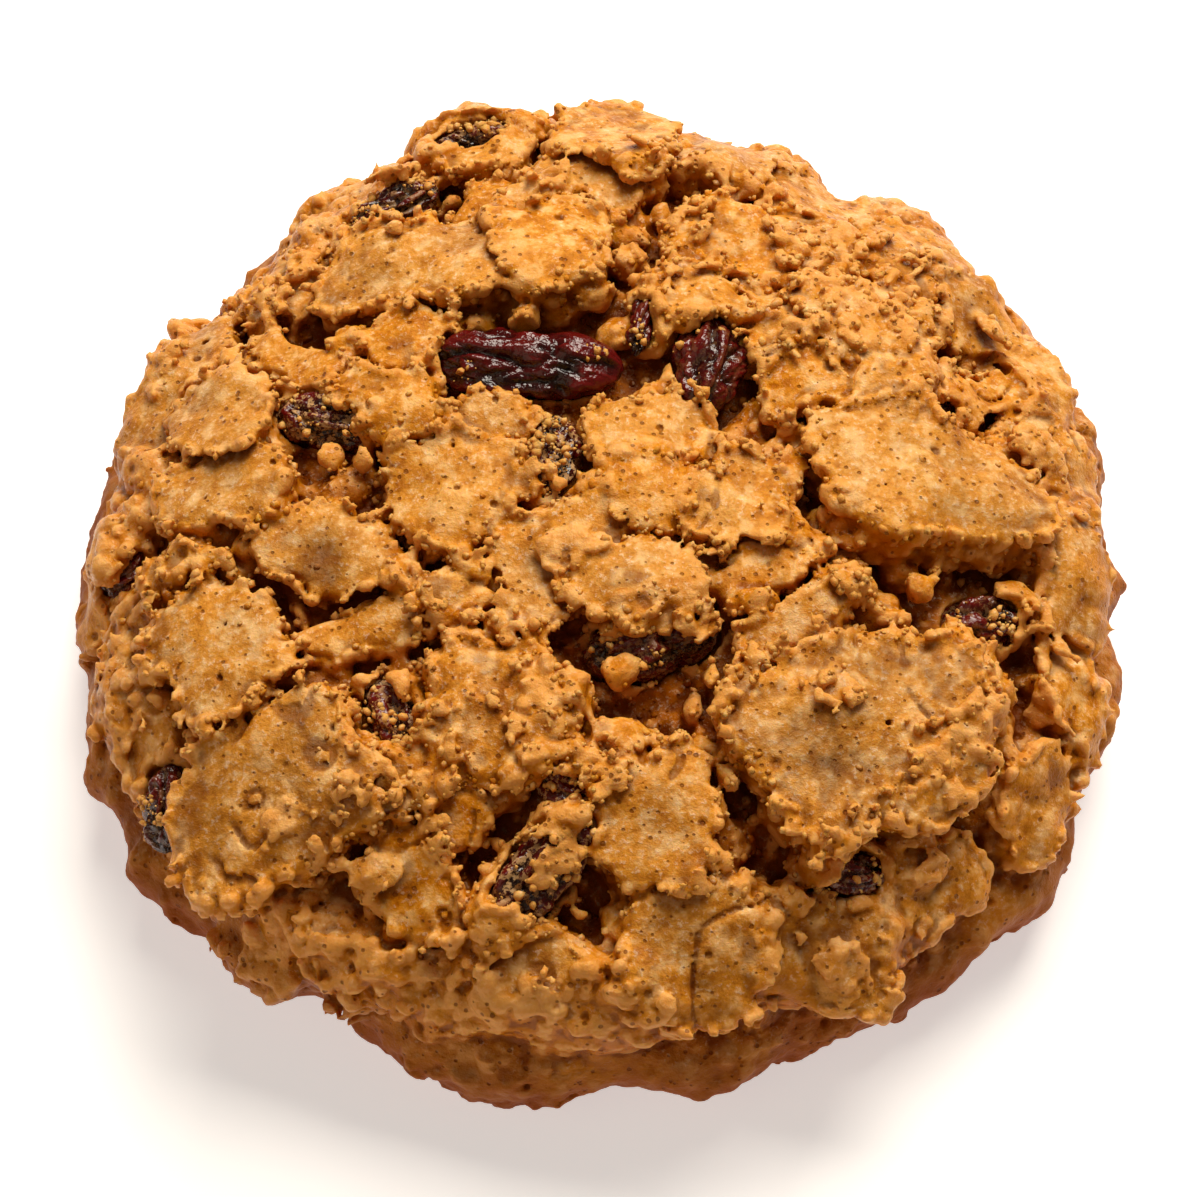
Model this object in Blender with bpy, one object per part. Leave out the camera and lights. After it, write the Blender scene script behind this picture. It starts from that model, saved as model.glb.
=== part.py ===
"""Oatmeal cranberry cookie.

A domed drop cookie of oat dough. Its top has cracked open into lifted crust
plates with moist crumb between them, its wall is lumpy, and its underside has
baked flat on the tray. Dried cranberries sit in pockets in the dough.

The sizes below are millimetres. The scene is in metres, with Z up and -Y
towards the side whose plates lift most.
"""
import math
import random

import bpy
import bmesh
from mathutils import Matrix, Vector

MM = 0.001

# Driving sizes of the whole cookie
HALF_WIDTH = 40.0           # x, from the middle to the rim
HALF_DEPTH = 41.0           # y
HEIGHT = 22.0               # top of the dome
RIM_HEIGHT = 6.5            # widest level of the wall
FOOT_INSET = 3.2            # how far the underside lies inside the rim
SHOULDER = (3.2, 0.62)      # powers that round the dome off to the rim
# Waves that keep the rim from being round: per turn, share of radius, phase in degrees
RIM_WAVES = ((1, 0.020, 22), (3, 0.011, 84), (4, 0.009, -77), (6, 0.008, 146))
RIM_SHARE = 0.985           # mean share of the nominal radius

# Crust plates
CRACK_DEPTH = 3.6           # from the plates' tops down to the crumb between them
CORE_SHARE = 0.95           # radius of the crumb over the cookie's
PLATE_HALF_THICK = 2.7
PLATE_POWER = 2.6           # 2 is an ellipse, more is squarer
CROWN_POWER = 3.0           # roundness of a plate's edge
PLATE_BOW = 60.0            # radius that a plate's top is bowed to
RAGGED_SHARE = 0.075        # how far a plate's outline wanders
LEAN_HEADING = -90.0        # degrees: plates lift at the side facing -Y
FACET = 1.9                 # length of a plate's facets round its outline

# Wall and flakes
# Rings of lumps: how many, level, half length, half height, distance of their middles from the rim
WALL_RINGS = (
    (23, (3.6, 6.4), (4.8, 8.0), (2.8, 4.2), (3.8, 4.5)),
    (21, (8.6, 12.0), (4.0, 6.6), (2.6, 3.6), (5.8, 7.0)),
)
WALL_LUMP_HALF_DEPTH = 4.0
CRUMB_LUMPS = 70
CRUMB_SIZE = (1.2, 2.4)     # half width of the clumps in the cracks
OAT_FLAKES = 24
FLAKE_SIZE = (2.3, 1.6, 0.75)   # half length, half width, half thickness of a big flake

# Cranberries
SEED = 200                  # of every random draw
SOLVER = "MANIFOLD"
DOUGH_TRIANGLES = 7400      # before the pockets are cut
POCKET_GAP = 0.32           # between a cranberry and its pocket
FRUIT_SEGMENTS = 12
FRUIT_RINGS = 9

# Crust plates from the far side to the near side:
# x, y, half length, half width, turn in degrees, lift, lean in degrees
FAR_PLATES = (
    (1.8, 32.4, 5.2, 5.2, 80, 0.8, 0),
    (-1.5, 25.8, 6.0, 4.6, 50, 0.2, 0),
    (-3.0, 20.0, 4.2, 5.2, 0, 1.0, 6),
    (-12.5, 18.8, 8.5, 4.8, 5, 1.2, 8),
    (10.5, 32.0, 5.6, 3.6, -10, -0.4, 0),
    (17.3, 28.0, 5.6, 4.4, -28, -0.6, 0),
    (16.6, 22.5, 5.0, 3.0, -35, 0.0, 0),
    (10.6, 21.5, 3.6, 4.2, 60, 0.2, 0),
    (-9.5, 32.2, 4.8, 3.6, 20, -0.6, 0),
    (-7.6, 25.5, 3.4, 2.4, 10, -0.6, 0),
    (-16.5, 28.5, 5.0, 3.2, 20, -0.6, 0),
    (-21.5, 25.0, 4.6, 3.2, 40, -0.8, 0),
    (-23.5, 19.0, 4.0, 3.4, 20, -0.3, 0),
)
SHOULDER_PLATES = (
    (18.5, 14.2, 6.2, 4.2, 10, 0.6, 6),
    (25.0, 21.0, 6.0, 3.8, -42, 0.2, 0),
    (31.0, 15.0, 6.6, 3.6, -52, 0.2, 0),
    (29.5, 9.6, 4.5, 2.4, 10, -0.4, 0),
    (13.5, 12.5, 6.0, 2.8, -60, -0.4, 0),
    (7.2, 15.8, 4.0, 3.0, -10, 0.4, 5),
    (21.5, 8.4, 3.4, 3.0, 30, 0.3, 0),
    (15.5, 7.6, 3.2, 2.4, 20, 0.0, 0),
)
RIGHT_PLATES = (
    (24.3, 0.8, 9.8, 6.0, 0, 1.2, 9),
    (34.0, 5.0, 4.4, 3.8, -50, 0.4, 0),
    (35.3, -4.5, 6.8, 3.4, -80, 0.2, 0),
    (35.0, -14.0, 4.6, 3.4, -70, -0.2, 0),
    (31.5, -21.0, 4.6, 3.0, 65, 0.0, 0),
    (18.8, -18.8, 11.6, 7.6, 8, 1.4, 7),
    (14.0, -11.8, 4.8, 2.2, 32, 0.4, 0),
)
MIDDLE_PLATES = (
    (5.0, 3.8, 4.6, 3.4, 10, 0.4, 0),
    (4.0, -1.6, 3.4, 2.8, 0, 1.2, 0),
    (10.6, -2.2, 4.2, 4.2, 0, 0.6, 5),
    (-3.0, -6.5, 6.0, 4.2, 30, 0.2, 0),
    (4.6, -8.4, 5.6, 3.2, 15, 1.2, 6),
    (11.8, -7.4, 4.0, 2.2, 35, 0.0, 0),
    (-10.2, -0.5, 5.6, 5.2, 0, 0.6, 6),
    (-14.2, 6.4, 4.2, 2.6, -25, 0.4, 0),
    (-6.2, 5.0, 3.4, 2.0, -20, 0.0, 0),
    (-13.0, 11.6, 3.2, 2.6, 0, 0.6, 0),
    (-18.5, -4.8, 5.0, 3.4, -35, 0.4, 5),
    (-10.2, -9.6, 3.4, 2.2, 20, -0.2, 0),
    (-17.6, -11.4, 5.6, 2.4, 10, 0.0, 0),
)
LEFT_PLATES = (
    (-30.5, 11.5, 7.4, 3.6, 55, 0.2, 0),
    (-26.4, 6.8, 5.2, 4.0, -10, 1.0, 6),
    (-21.6, 11.4, 4.6, 2.2, -35, 0.2, 0),
    (-33.2, 4.0, 3.4, 2.8, 70, 0.0, 0),
    (-26.0, 0.6, 5.4, 3.2, 0, 0.8, 6),
    (-36.0, 1.8, 3.2, 2.6, 30, -0.2, 0),
    (-37.4, -5.2, 3.2, 2.8, 80, 0.2, 0),
    (-29.0, -7.0, 3.4, 3.2, 0, 0.6, 0),
    (-26.0, -12.0, 5.4, 6.0, 20, 1.0, 6),
    (-33.2, -13.6, 7.4, 2.8, -72, -0.2, 0),
    (-22.0, -23.0, 9.2, 6.2, 30, 1.4, 8),
)
NEAR_PLATES = (
    (-20.5, -32.0, 7.4, 4.0, -18, -0.2, 0),
    (-11.5, -34.0, 5.6, 3.8, -15, -0.2, 0),
    (-6.4, -17.6, 5.2, 4.8, 0, 1.0, 6),
    (-12.0, -23.0, 2.8, 3.0, 0, 0.2, 0),
    (-11.6, -29.0, 3.4, 4.4, 0, 0.4, 0),
    (-4.0, -35.0, 5.8, 3.0, -10, 0.0, 0),
    (-9.0, -25.0, 2.6, 2.4, 50, 0.2, 0),
    (4.4, -25.8, 3.8, 6.2, -5, 0.8, 5),
    (24.4, -27.6, 4.4, 3.0, 15, 0.0, 0),
    (7.6, -34.0, 6.0, 4.6, 10, 0.8, 5),
    (16.2, -33.0, 5.4, 3.8, -15, 0.6, 5),
)
PLATES = FAR_PLATES + SHOULDER_PLATES + RIGHT_PLATES + MIDDLE_PLATES + LEFT_PLATES + NEAR_PLATES

# Cranberries: name, x, y, half length, half width, turn in degrees, depth of the middle
CRANBERRIES = (
    ("cranberry_centre_long", -4.8, 10.2, 7.3, 3.2, -4, 1.6),
    ("cranberry_centre_round", 8.7, 10.1, 4.1, 2.9, 80, 1.4),
    ("cranberry_centre_slim", 3.9, 13.4, 3.1, 1.25, 80, 0.7),
    ("cranberry_far_left", -9.2, 33.6, 3.9, 2.2, 15, 0.6),
    ("cranberry_far_shoulder", -15.0, 26.0, 3.8, 2.2, 30, 0.7),
    ("cranberry_left_sugared", -19.2, 6.0, 4.2, 2.2, -15, 1.6),
    ("cranberry_middle_hidden", -2.6, 2.0, 3.6, 2.0, 85, 1.2),
    ("cranberry_middle_low", 4.5, -12.0, 5.0, 2.9, 18, 2.4),
    ("cranberry_near_small", -1.2, -22.6, 2.6, 2.3, 0, 1.6),
    ("cranberry_near_long", -3.8, -29.2, 5.6, 2.6, 50, 1.0),
    ("cranberry_left_crack", -14.0, -17.8, 3.2, 2.2, 110, 2.6),
    ("cranberry_right_crack", 29.2, -8.8, 3.3, 2.3, 10, 2.4),
    ("cranberry_near_right", 18.2, -28.2, 3.1, 1.9, 0, 1.4),
    ("cranberry_left_edge", -30.4, -21.8, 3.3, 2.2, 60, 0.9),
    ("cranberry_left_rim", -35.0, -2.0, 3.0, 2.0, 80, 0.8),
    ("cranberry_right_shoulder", 25.4, 7.4, 2.5, 1.8, 20, 1.6),
)


def waves(angle, terms):
    """Sum of cosine waves round a turn."""
    return sum(share * math.cos(count * angle + phase) for count, share, phase in terms)


def rim_share(angle):
    """Radius of the rim over its nominal radius, in one direction."""
    terms = [(count, share, math.radians(phase)) for count, share, phase in RIM_WAVES]
    return RIM_SHARE + waves(angle, terms)


def dome_height(x, y):
    """Height of the crust's even surface over the tray."""
    reach = math.hypot(x / HALF_WIDTH, y / HALF_DEPTH) / rim_share(math.atan2(y, x))
    fall, roundness = SHOULDER
    return RIM_HEIGHT + (HEIGHT - RIM_HEIGHT) * max(0.0, 1.0 - reach ** fall) ** roundness


def dome_normal(x, y, step=0.2):
    """Direction that the even surface faces."""
    slope_x = (dome_height(x + step, y) - dome_height(x - step, y)) / (2 * step)
    slope_y = (dome_height(x, y + step) - dome_height(x, y - step)) / (2 * step)
    return Vector((-slope_x, -slope_y, 1.0)).normalized()


def seat(x, y, turn, lift, lean=0.0):
    """Frame on the dome: X along the piece, Z out of the dough."""
    out = dome_normal(x, y)
    if lean:
        heading = math.radians(LEAN_HEADING)
        axis = Vector((-math.sin(heading), math.cos(heading), 0.0))
        out = Matrix.Rotation(-math.radians(lean), 3, axis) @ out
    along = Vector((math.cos(math.radians(turn)), math.sin(math.radians(turn)), 0.0))
    across = out.cross(along).normalized()
    along = across.cross(out)
    frame = Matrix((along, across, out)).transposed().to_4x4()
    frame.translation = Vector((x, y, dome_height(x, y))) + out * lift
    return frame


def outline_radius(angle, half_long, half_wide, ragged):
    """Distance from a plate's middle to its ragged outline."""
    along = abs(math.cos(angle)) / half_long
    across = abs(math.sin(angle)) / half_wide
    even = (along ** PLATE_POWER + across ** PLATE_POWER) ** (-1.0 / PLATE_POWER)
    return even * (1.0 + waves(angle, ragged))


def ragged_terms(rng, share=RAGGED_SHARE):
    """Random waves of an outline, fainter as they get finer."""
    return [(count, share * math.sqrt(2.0 / count), rng.uniform(0, math.tau)) for count in range(2, 7)]


def new_sphere(name, segments, rings, collection):
    """Unit sphere as a named object in a collection."""
    bpy.ops.mesh.primitive_uv_sphere_add(segments=segments, ring_count=rings, radius=1.0)
    ball = bpy.context.object
    ball.name = name
    for old in list(ball.users_collection):
        old.objects.unlink(ball)
    collection.objects.link(ball)
    return ball


def shape_points(thing, shape, frame):
    """Move each point of a unit sphere to its place: shape gives it in mm in the frame."""
    for vertex in thing.data.vertices:
        vertex.co = (frame @ shape(vertex.co)) * MM
    thing.data.update()


def add_core(collection):
    """Dough under the plates: the crumb that the cracks go down to."""
    core = new_sphere("oat_dough", 64, 24, collection)
    rng = random.Random(SEED + 70)
    ripples = [(rng.uniform(0.25, 0.6), rng.uniform(0, math.tau), rng.uniform(0, math.tau)) for _ in range(6)]

    def shape(point):
        angle = math.atan2(point.y, point.x)
        reach = math.hypot(point.x, point.y) ** 0.8
        share = rim_share(angle)
        if point.z >= 0:
            reach *= CORE_SHARE
            x = HALF_WIDTH * share * reach * math.cos(angle)
            y = HALF_DEPTH * share * reach * math.sin(angle)
            bump = sum(math.sin(x * pace + a) * math.sin(y * pace + b) for pace, a, b in ripples)
            height = dome_height(x, y) - CRACK_DEPTH * (1.0 - 0.4 * reach ** 4) + 0.25 * bump
            return Vector((x, y, height))
        foot = CORE_SHARE - FOOT_INSET / HALF_WIDTH * min(1.0, -point.z * 1.6)
        x = HALF_WIDTH * share * reach * foot * math.cos(angle)
        y = HALF_DEPTH * share * reach * foot * math.sin(angle)
        wall = min(1.0, -point.z * 2.2)
        return Vector((x, y, RIM_HEIGHT * 0.9 - wall * (RIM_HEIGHT * 0.9 + 1.0)))

    shape_points(core, shape, Matrix.Identity(4))
    return core


def add_plate(index, row, collection):
    """One lifted plate of crust, rooted in the core."""
    x, y, half_long, half_wide, turn, lift, lean = row
    rng = random.Random(SEED + index)
    ragged = ragged_terms(rng)
    segments = max(10, min(24, round(math.tau * math.sqrt(half_long * half_wide) / FACET)))
    plate = new_sphere("crust_plate", segments, 7 if half_long > 6 else 6, collection)
    power = 2.0 / CROWN_POWER

    def shape(point):
        angle = math.atan2(point.y, point.x)
        radius = outline_radius(angle, half_long, half_wide, ragged)
        reach = radius * min(1.0, math.hypot(point.x, point.y)) ** power
        height = PLATE_HALF_THICK * math.copysign(abs(point.z) ** power, point.z)
        bow = reach * reach / (2 * PLATE_BOW)
        return Vector((reach * math.cos(angle), reach * math.sin(angle), height - PLATE_HALF_THICK - bow))

    shape_points(plate, shape, seat(x, y, turn, lift, lean))
    return plate


def add_wall_lumps(collection):
    """Swollen lumps round the wall, in rings from the tray up to the shoulder."""
    rng = random.Random(SEED + 71)
    for count, levels, lengths, heights, insets in WALL_RINGS:
        for index in range(count):
            angle = math.tau * (index + rng.uniform(-0.3, 0.3)) / count
            add_wall_lump(angle, rng.uniform(*levels), rng.uniform(*lengths), rng.uniform(*heights),
                          rng.uniform(*insets), ragged_terms(rng, 0.05), collection)


def add_wall_lump(angle, level, half_long, half_high, inset, ragged, collection):
    """One lump that swells out of the wall."""
    share = rim_share(angle)
    frame = Matrix.Rotation(angle + math.pi / 2, 4, "Z")
    frame.translation = Vector(((HALF_WIDTH * share - inset) * math.cos(angle),
                                (HALF_DEPTH * share - inset) * math.sin(angle), level))

    def shape(point):
        swell = 1.0 + waves(math.atan2(point.z, point.x), ragged)
        return Vector((point.x * half_long * swell, point.y * WALL_LUMP_HALF_DEPTH, point.z * half_high * swell))

    shape_points(new_sphere("wall_lump", 14, 7, collection), shape, frame)


def add_crumb_lumps(collection):
    """Small clumps of crumb down in the cracks, spread evenly by the sunflower rule."""
    rng = random.Random(SEED + 73)
    for index in range(CRUMB_LUMPS):
        reach = 0.9 * math.sqrt((index + 0.5) / CRUMB_LUMPS)
        angle = index * math.pi * (3.0 - math.sqrt(5.0))
        half = rng.uniform(*CRUMB_SIZE)
        frame = seat(HALF_WIDTH * reach * math.cos(angle), HALF_DEPTH * reach * math.sin(angle),
                     rng.uniform(0, 180), -CRACK_DEPTH + rng.uniform(0.3, 1.4))
        stretch = rng.uniform(0.7, 1.3)

        def shape(point):
            return Vector((point.x * half * stretch, point.y * half / stretch, point.z * half * 0.8))

        shape_points(new_sphere("crumb_lump", 8, 5, collection), shape, frame)


def add_oat_flakes(collection):
    """Rolled oats that show in the crust, largest first, on plates drawn by a seeded rule."""
    rng = random.Random(SEED + 72)
    chosen = rng.sample(PLATES, OAT_FLAKES)
    for index, (x, y, half_long, half_wide, turn, lift, _lean) in enumerate(chosen):
        size = 1.0 - 0.35 * index / OAT_FLAKES
        angle = rng.uniform(0, math.tau)
        spread = rng.uniform(0.2, 0.6)
        spot_x = x + half_wide * spread * math.cos(angle)
        spot_y = y + half_wide * spread * math.sin(angle)
        frame = seat(spot_x, spot_y, rng.uniform(0, 180), lift + 0.1, rng.uniform(-14, 14))
        flake = new_sphere("oat_flake", 7, 4, collection)
        long, wide, thick = (size * half for half in FLAKE_SIZE)

        def shape(point):
            return Vector((point.x * long, point.y * wide, point.z * thick))

        shape_points(flake, shape, frame)


def fruit_shape(name, half_long, half_wide, grow=0.0):
    """Wrinkled body of a dried cranberry, with folds that run along it."""
    rng = random.Random(name + str(SEED))
    folds = [(count, rng.uniform(0.03, 0.07), rng.uniform(0, math.tau)) for count in (3, 4, 5)]
    waist = rng.uniform(0.06, 0.12)
    phase = rng.uniform(-0.4, 0.4)

    def shape(point):
        around = math.atan2(point.z, point.y)
        pinch = 1.0 - waist * math.exp(-((point.x - phase) / 0.25) ** 2)
        girth = (1.0 + waves(around, folds)) * pinch
        body = Vector((point.x * half_long, point.y * half_wide * girth, point.z * half_wide * 0.92 * girth))
        return body + body.normalized() * grow

    return shape


def add_cranberry(row, collection, grow=0.0):
    """One dried cranberry, or with grow the cutter of its pocket."""
    name, x, y, half_long, half_wide, turn, depth = row
    berry = new_sphere(name, FRUIT_SEGMENTS, FRUIT_RINGS, collection)
    shape_points(berry, fruit_shape(name, half_long, half_wide, grow), seat(x, y, turn, -depth))
    return berry


def apply_step(thing, step):
    """Make a modifier's result the object's own mesh."""
    bpy.ops.object.select_all(action="DESELECT")
    bpy.context.view_layer.objects.active = thing
    thing.select_set(True)
    bpy.ops.object.modifier_apply(modifier=step.name)


def thin_out(thing, triangles):
    """Collapse the smallest edges until the mesh has the given number of triangles."""
    step = thing.modifiers.new("fewer_facets", "DECIMATE")
    step.ratio = triangles / len(thing.data.polygons)
    apply_step(thing, step)


def apply_boolean(thing, collection, operation):
    """Join or cut with a whole collection, then remove the collection's objects."""
    step = thing.modifiers.new(operation.lower(), "BOOLEAN")
    step.operation = operation
    step.operand_type = "COLLECTION"
    step.collection = collection
    step.solver = SOLVER
    apply_step(thing, step)
    for used in list(collection.objects):
        bpy.data.objects.remove(used, do_unlink=True)
    bpy.data.collections.remove(collection)


def shell_volume(faces):
    """Signed volume of one closed shell."""
    total = 0.0
    for face in faces:
        a, b, c = (vertex.co for vertex in face.verts)
        total += a.dot(b.cross(c)) / 6.0
    return total


def keep_one_shell(thing):
    """Triangulate, then drop loose scraps and fill hollows that joining sealed."""
    body = bmesh.new()
    body.from_mesh(thing.data)
    bmesh.ops.triangulate(body, faces=body.faces)
    left = set(body.faces)
    shells = []
    while left:
        stack = [left.pop()]
        shell = []
        while stack:
            face = stack.pop()
            shell.append(face)
            for edge in face.edges:
                for other in edge.link_faces:
                    if other in left:
                        left.discard(other)
                        stack.append(other)
        shells.append(shell)
    shells.sort(key=shell_volume, reverse=True)
    for shell in shells[1:]:
        bmesh.ops.delete(body, geom=shell, context="FACES")
    loose = [vertex for vertex in body.verts if not vertex.link_faces]
    bmesh.ops.delete(body, geom=loose, context="VERTS")
    body.to_mesh(thing.data)
    body.free()


def add_material(name, colour, roughness, things):
    """Principled material shared by the given objects."""
    material = bpy.data.materials.new(name)
    material.use_nodes = True
    surface = material.node_tree.nodes["Principled BSDF"]
    surface.inputs["Base Color"].default_value = (*colour, 1.0)
    surface.inputs["Roughness"].default_value = roughness
    surface.inputs["Metallic"].default_value = 0.0
    for thing in things:
        thing.data.materials.clear()
        thing.data.materials.append(material)


def new_collection(name):
    """Collection linked to the scene."""
    collection = bpy.data.collections.new(name)
    bpy.context.scene.collection.children.link(collection)
    return collection


def centre_on_origin(things):
    """Shift the meshes so that the middle of the underside is the origin."""
    corners = [vertex.co for thing in things for vertex in thing.data.vertices]
    middle_x = (min(c.x for c in corners) + max(c.x for c in corners)) / 2
    middle_y = (min(c.y for c in corners) + max(c.y for c in corners)) / 2
    shift = Matrix.Translation((-middle_x, -middle_y, -min(c.z for c in corners)))
    for thing in things:
        thing.data.transform(shift)
        thing.data.update()


def main():
    for old in list(bpy.data.objects):
        bpy.data.objects.remove(old, do_unlink=True)
    cookie = new_collection("oatmeal_cranberry_cookie")
    lumps = new_collection("dough_lumps")
    pockets = new_collection("pocket_cutters")

    dough = add_core(cookie)
    for index, row in enumerate(PLATES):
        add_plate(index, row, lumps)
    add_wall_lumps(lumps)
    add_crumb_lumps(lumps)
    add_oat_flakes(lumps)
    apply_boolean(dough, lumps, "UNION")
    keep_one_shell(dough)
    thin_out(dough, DOUGH_TRIANGLES)

    berries = []
    for row in CRANBERRIES:
        berries.append(add_cranberry(row, cookie))
        add_cranberry(row, pockets, POCKET_GAP)
    bpy.ops.mesh.primitive_cube_add(size=120 * MM, location=(0, 0, -60 * MM))
    tray = bpy.context.object
    for old in list(tray.users_collection):
        old.objects.unlink(tray)
    pockets.objects.link(tray)
    apply_boolean(dough, pockets, "DIFFERENCE")
    keep_one_shell(dough)

    centre_on_origin([dough] + berries)
    for thing in [dough] + berries:
        thing.data.shade_smooth()
    add_material("baked_oat_dough", (0.46, 0.19, 0.05), 0.7, [dough])
    add_material("dried_cranberry", (0.055, 0.005, 0.004), 0.3, berries)


main()
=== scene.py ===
"""Looks of the oatmeal cranberry cookie.

The dough is worked out as a field of distances on a fine grid: a crumb core, lifted crust
plates, wall lumps, clots of crumb and oat flakes are joined there, opened for the fruit, and
roughened and pitted, and the field's zero surface becomes the mesh. What the field knows at
each point of that surface, such as how deep it lies in a crack, is kept on the mesh for the
crust's colours. Sizes are millimetres until a mesh is made. The scene is in metres.
"""
import math
import random

import bmesh
import bpy
import numpy as np
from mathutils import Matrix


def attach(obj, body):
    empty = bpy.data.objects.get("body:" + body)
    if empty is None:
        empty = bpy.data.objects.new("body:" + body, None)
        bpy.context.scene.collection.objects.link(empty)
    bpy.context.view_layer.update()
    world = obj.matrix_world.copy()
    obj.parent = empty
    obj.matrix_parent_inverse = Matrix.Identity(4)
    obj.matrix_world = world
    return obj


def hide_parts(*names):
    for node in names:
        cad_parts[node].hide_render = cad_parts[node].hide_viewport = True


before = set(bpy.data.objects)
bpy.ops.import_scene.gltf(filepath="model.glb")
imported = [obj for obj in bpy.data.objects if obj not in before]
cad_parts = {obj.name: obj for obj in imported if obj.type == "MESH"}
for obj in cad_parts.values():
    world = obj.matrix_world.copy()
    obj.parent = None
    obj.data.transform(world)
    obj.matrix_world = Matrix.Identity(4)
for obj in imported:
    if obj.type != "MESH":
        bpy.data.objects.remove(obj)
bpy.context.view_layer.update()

import openvdb
from mathutils import Matrix, Vector, noise

MM = 0.001
DOME_AXIS = (-0.747, -0.198)    # where the dome's axis stands in the frame

# Driving sizes, as in the part's source
SEED = 200
HALF_WIDTH = 40.0
HALF_DEPTH = 41.0
HEIGHT = 22.0
RIM_HEIGHT = 6.5
FOOT_INSET = 3.2
SHOULDER = (3.2, 0.62)
RIM_WAVES = ((1, 0.020, 22), (3, 0.011, 84), (4, 0.009, -77), (6, 0.008, 146))
RIM_SHARE = 0.985
CRACK_DEPTH = 3.6
CORE_SHARE = 0.95
PLATE_HALF_THICK = 2.7
PLATE_POWER = 2.6
PLATE_BOW = 60.0
RAGGED_SHARE = 0.075
LEAN_HEADING = -90.0
WALL_RINGS = (
    (23, (3.6, 6.4), (4.8, 8.0), (2.8, 4.2), (3.8, 4.5)),
    (21, (8.6, 12.0), (4.0, 6.6), (2.6, 3.6), (5.8, 7.0)),
)
WALL_LUMP_HALF_DEPTH = 4.0
CRUMB_LUMPS = 70
CRUMB_SIZE = (1.2, 2.4)
OAT_FLAKES = 24
FLAKE_SIZE = (2.3, 1.6, 0.75)

# x, y, half length, half width, turn in degrees, lift, lean in degrees
FAR_PLATES = (
    (1.8, 32.4, 5.2, 5.2, 80, 0.8, 0),
    (-1.5, 25.8, 6.0, 4.6, 50, 0.2, 0),
    (-3.0, 20.0, 4.2, 5.2, 0, 1.0, 6),
    (-12.5, 18.8, 8.5, 4.8, 5, 1.2, 8),
    (10.5, 32.0, 5.6, 3.6, -10, -0.4, 0),
    (17.3, 28.0, 5.6, 4.4, -28, -0.6, 0),
    (16.6, 22.5, 5.0, 3.0, -35, 0.0, 0),
    (10.6, 21.5, 3.6, 4.2, 60, 0.2, 0),
    (-9.5, 32.2, 4.8, 3.6, 20, -0.6, 0),
    (-7.6, 25.5, 3.4, 2.4, 10, -0.6, 0),
    (-16.5, 28.5, 5.0, 3.2, 20, -0.6, 0),
    (-21.5, 25.0, 4.6, 3.2, 40, -0.8, 0),
    (-23.5, 19.0, 4.0, 3.4, 20, -0.3, 0),
)
SHOULDER_PLATES = (
    (18.5, 14.2, 6.2, 4.2, 10, 0.6, 6),
    (25.0, 21.0, 6.0, 3.8, -42, 0.2, 0),
    (31.0, 15.0, 6.6, 3.6, -52, 0.2, 0),
    (29.5, 9.6, 4.5, 2.4, 10, -0.4, 0),
    (13.5, 12.5, 6.0, 2.8, -60, -0.4, 0),
    (7.2, 15.8, 4.0, 3.0, -10, 0.4, 5),
    (21.5, 8.4, 3.4, 3.0, 30, 0.3, 0),
    (15.5, 7.6, 3.2, 2.4, 20, 0.0, 0),
)
RIGHT_PLATES = (
    (24.3, 0.8, 9.8, 6.0, 0, 1.2, 9),
    (34.0, 5.0, 4.4, 3.8, -50, 0.4, 0),
    (35.3, -4.5, 6.8, 3.4, -80, 0.2, 0),
    (35.0, -14.0, 4.6, 3.4, -70, -0.2, 0),
    (31.5, -21.0, 4.6, 3.0, 65, 0.0, 0),
    (18.8, -18.8, 11.6, 7.6, 8, 1.4, 7),
    (14.0, -11.8, 4.8, 2.2, 32, 0.4, 0),
)
MIDDLE_PLATES = (
    (5.0, 3.8, 4.6, 3.4, 10, 0.4, 0),
    (4.0, -1.6, 3.4, 2.8, 0, 1.2, 0),
    (10.6, -2.2, 4.2, 4.2, 0, 0.6, 5),
    (-3.0, -6.5, 6.0, 4.2, 30, 0.2, 0),
    (4.6, -8.4, 5.6, 3.2, 15, 1.2, 6),
    (11.8, -7.4, 4.0, 2.2, 35, 0.0, 0),
    (-10.2, -0.5, 5.6, 5.2, 0, 0.6, 6),
    (-14.2, 6.4, 4.2, 2.6, -25, 0.4, 0),
    (-6.2, 5.0, 3.4, 2.0, -20, 0.0, 0),
    (-13.0, 11.6, 3.2, 2.6, 0, 0.6, 0),
    (-18.5, -4.8, 5.0, 3.4, -35, 0.4, 5),
    (-10.2, -9.6, 3.4, 2.2, 20, -0.2, 0),
    (-17.6, -11.4, 5.6, 2.4, 10, 0.0, 0),
)
LEFT_PLATES = (
    (-30.5, 11.5, 7.4, 3.6, 55, 0.2, 0),
    (-26.4, 6.8, 5.2, 4.0, -10, 1.0, 6),
    (-21.6, 11.4, 4.6, 2.2, -35, 0.2, 0),
    (-33.2, 4.0, 3.4, 2.8, 70, 0.0, 0),
    (-26.0, 0.6, 5.4, 3.2, 0, 0.8, 6),
    (-36.0, 1.8, 3.2, 2.6, 30, -0.2, 0),
    (-37.4, -5.2, 3.2, 2.8, 80, 0.2, 0),
    (-29.0, -7.0, 3.4, 3.2, 0, 0.6, 0),
    (-26.0, -12.0, 5.4, 6.0, 20, 1.0, 6),
    (-33.2, -13.6, 7.4, 2.8, -72, -0.2, 0),
    (-22.0, -23.0, 9.2, 6.2, 30, 1.4, 8),
)
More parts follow.
